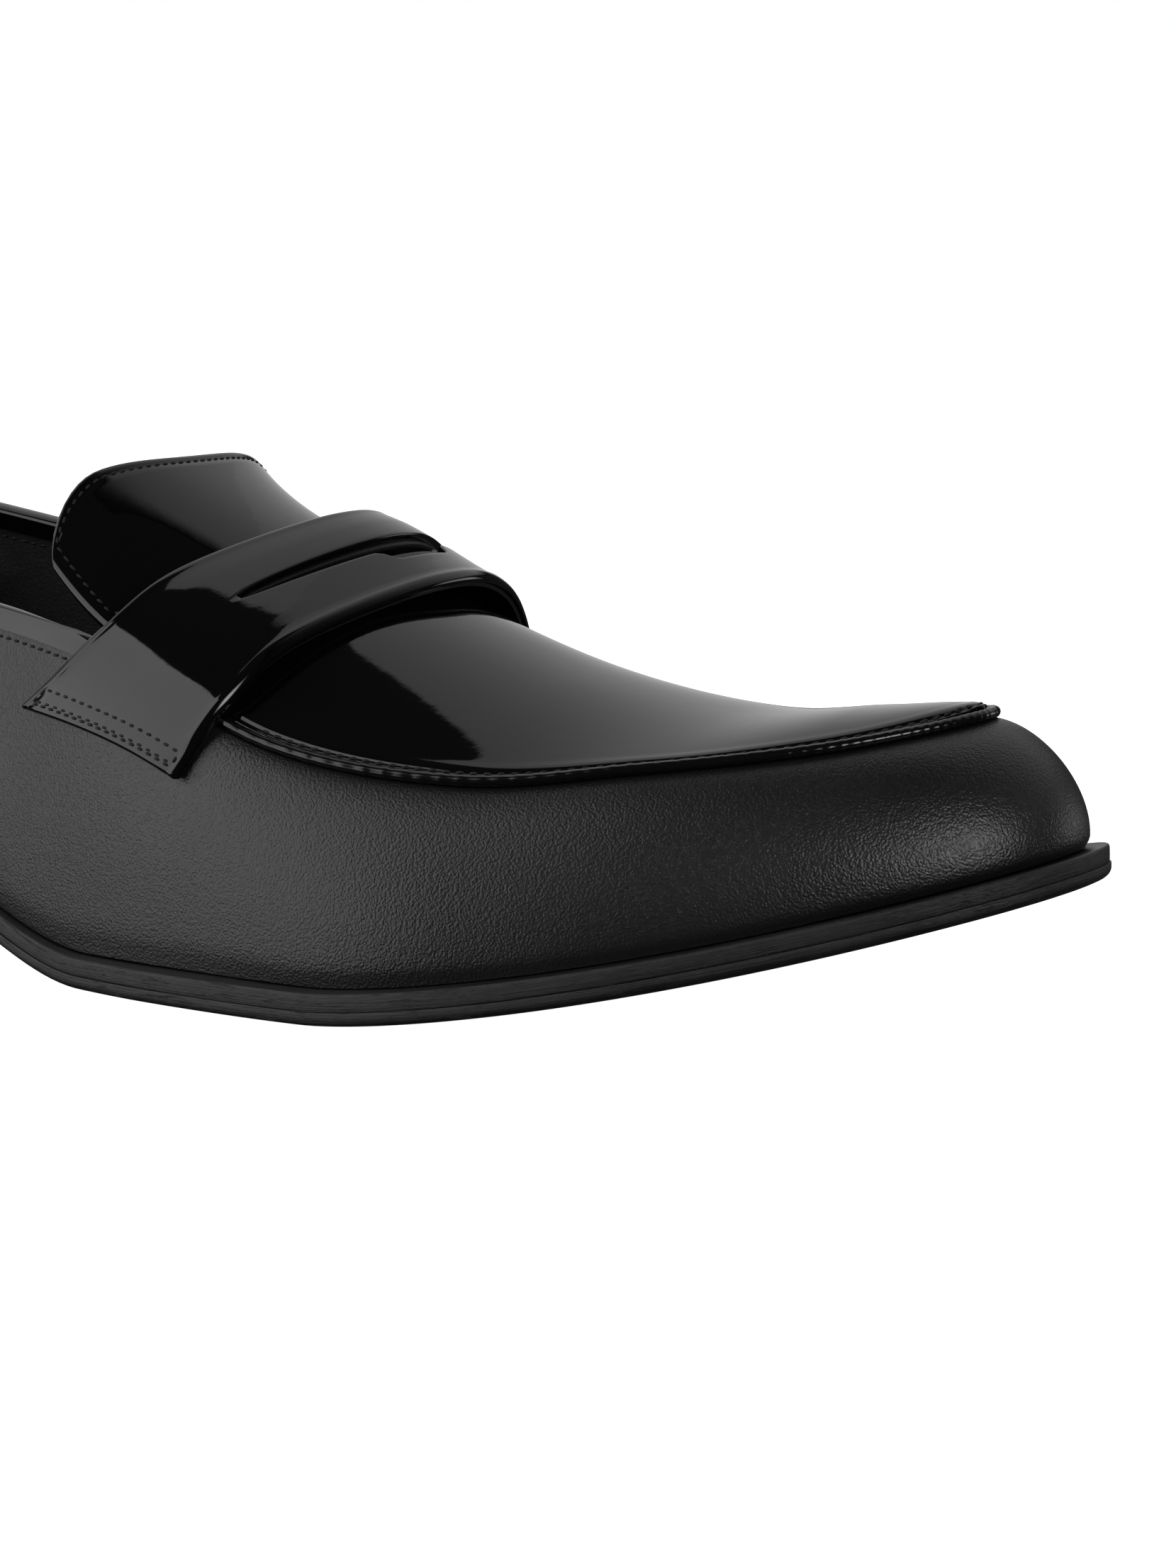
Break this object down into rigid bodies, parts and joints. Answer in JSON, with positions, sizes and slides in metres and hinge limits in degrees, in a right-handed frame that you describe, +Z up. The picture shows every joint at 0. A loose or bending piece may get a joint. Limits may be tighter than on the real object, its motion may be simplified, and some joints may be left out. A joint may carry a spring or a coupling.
{
  "type": "penny loafer",
  "caption": "Slip-on shoe with a raised plug, a slotted saddle strap, a standing tongue, a welted sole and a stacked heel.",
  "frame": {"origin": "middle of the heel's ground face", "axes": "+X towards the toe, +Y towards the inner (medial) side of the foot, +Z up"},
  "size_m": [0.2935, 0.1085, 0.0932],
  "materials": {
    "upper_leather": "smooth fine-grained leather, matte black",
    "patent_leather": "patent leather, high-gloss black coating",
    "lining_leather": "soft lining leather, black",
    "sole_leather": "sole leather with black edge dressing, satin",
    "heel_leather": "stacked leather board with black edge dressing, satin",
    "top_piece_rubber": "moulded rubber, matte black",
    "board": "pressed fibre board",
    "cork": "cork granule filler",
    "stiffener": "resin-stiffened felt",
    "foam": "soft closed-cell foam",
    "steel": "plain spring steel",
    "brass": "brass pins"
  },
  "bodies": {
    "shoe": {"outsole": "sole_leather", "welt": "sole_leather", "cork_filler": "cork", "shank": "steel", "insole": "board", "heel_lift_1": "heel_leather", "heel_lift_2": "heel_leather", "heel_lift_3": "heel_leather", "top_piece": "top_piece_rubber", "top_piece_nails": "brass", "heel_nails": "steel", "heel_pad": "foam", "sock_liner": "lining_leather", "vamp": "upper_leather", "back_strip": "upper_leather", "lining": "lining_leather", "toe_puff": "stiffener", "heel_counter": "stiffener", "plug": "patent_leather", "plug_lining": "lining_leather", "plug_bead": "patent_leather", "topline_binding": "patent_leather", "strap": "patent_leather", "strap_lining": "lining_leather"},
    "tongue_flap": {"tongue": "patent_leather", "tongue_lining": "lining_leather"}
  },
  "joints": [
    {"name": "tongue_flex", "type": "hinge", "parent": "shoe", "child": "tongue_flap", "pos_m": [0.108, 0, 0.069], "axis": [0, 1, 0], "range_deg": [-5, 25], "stiffness_Nm_per_rad": 0.08}
  ]
}
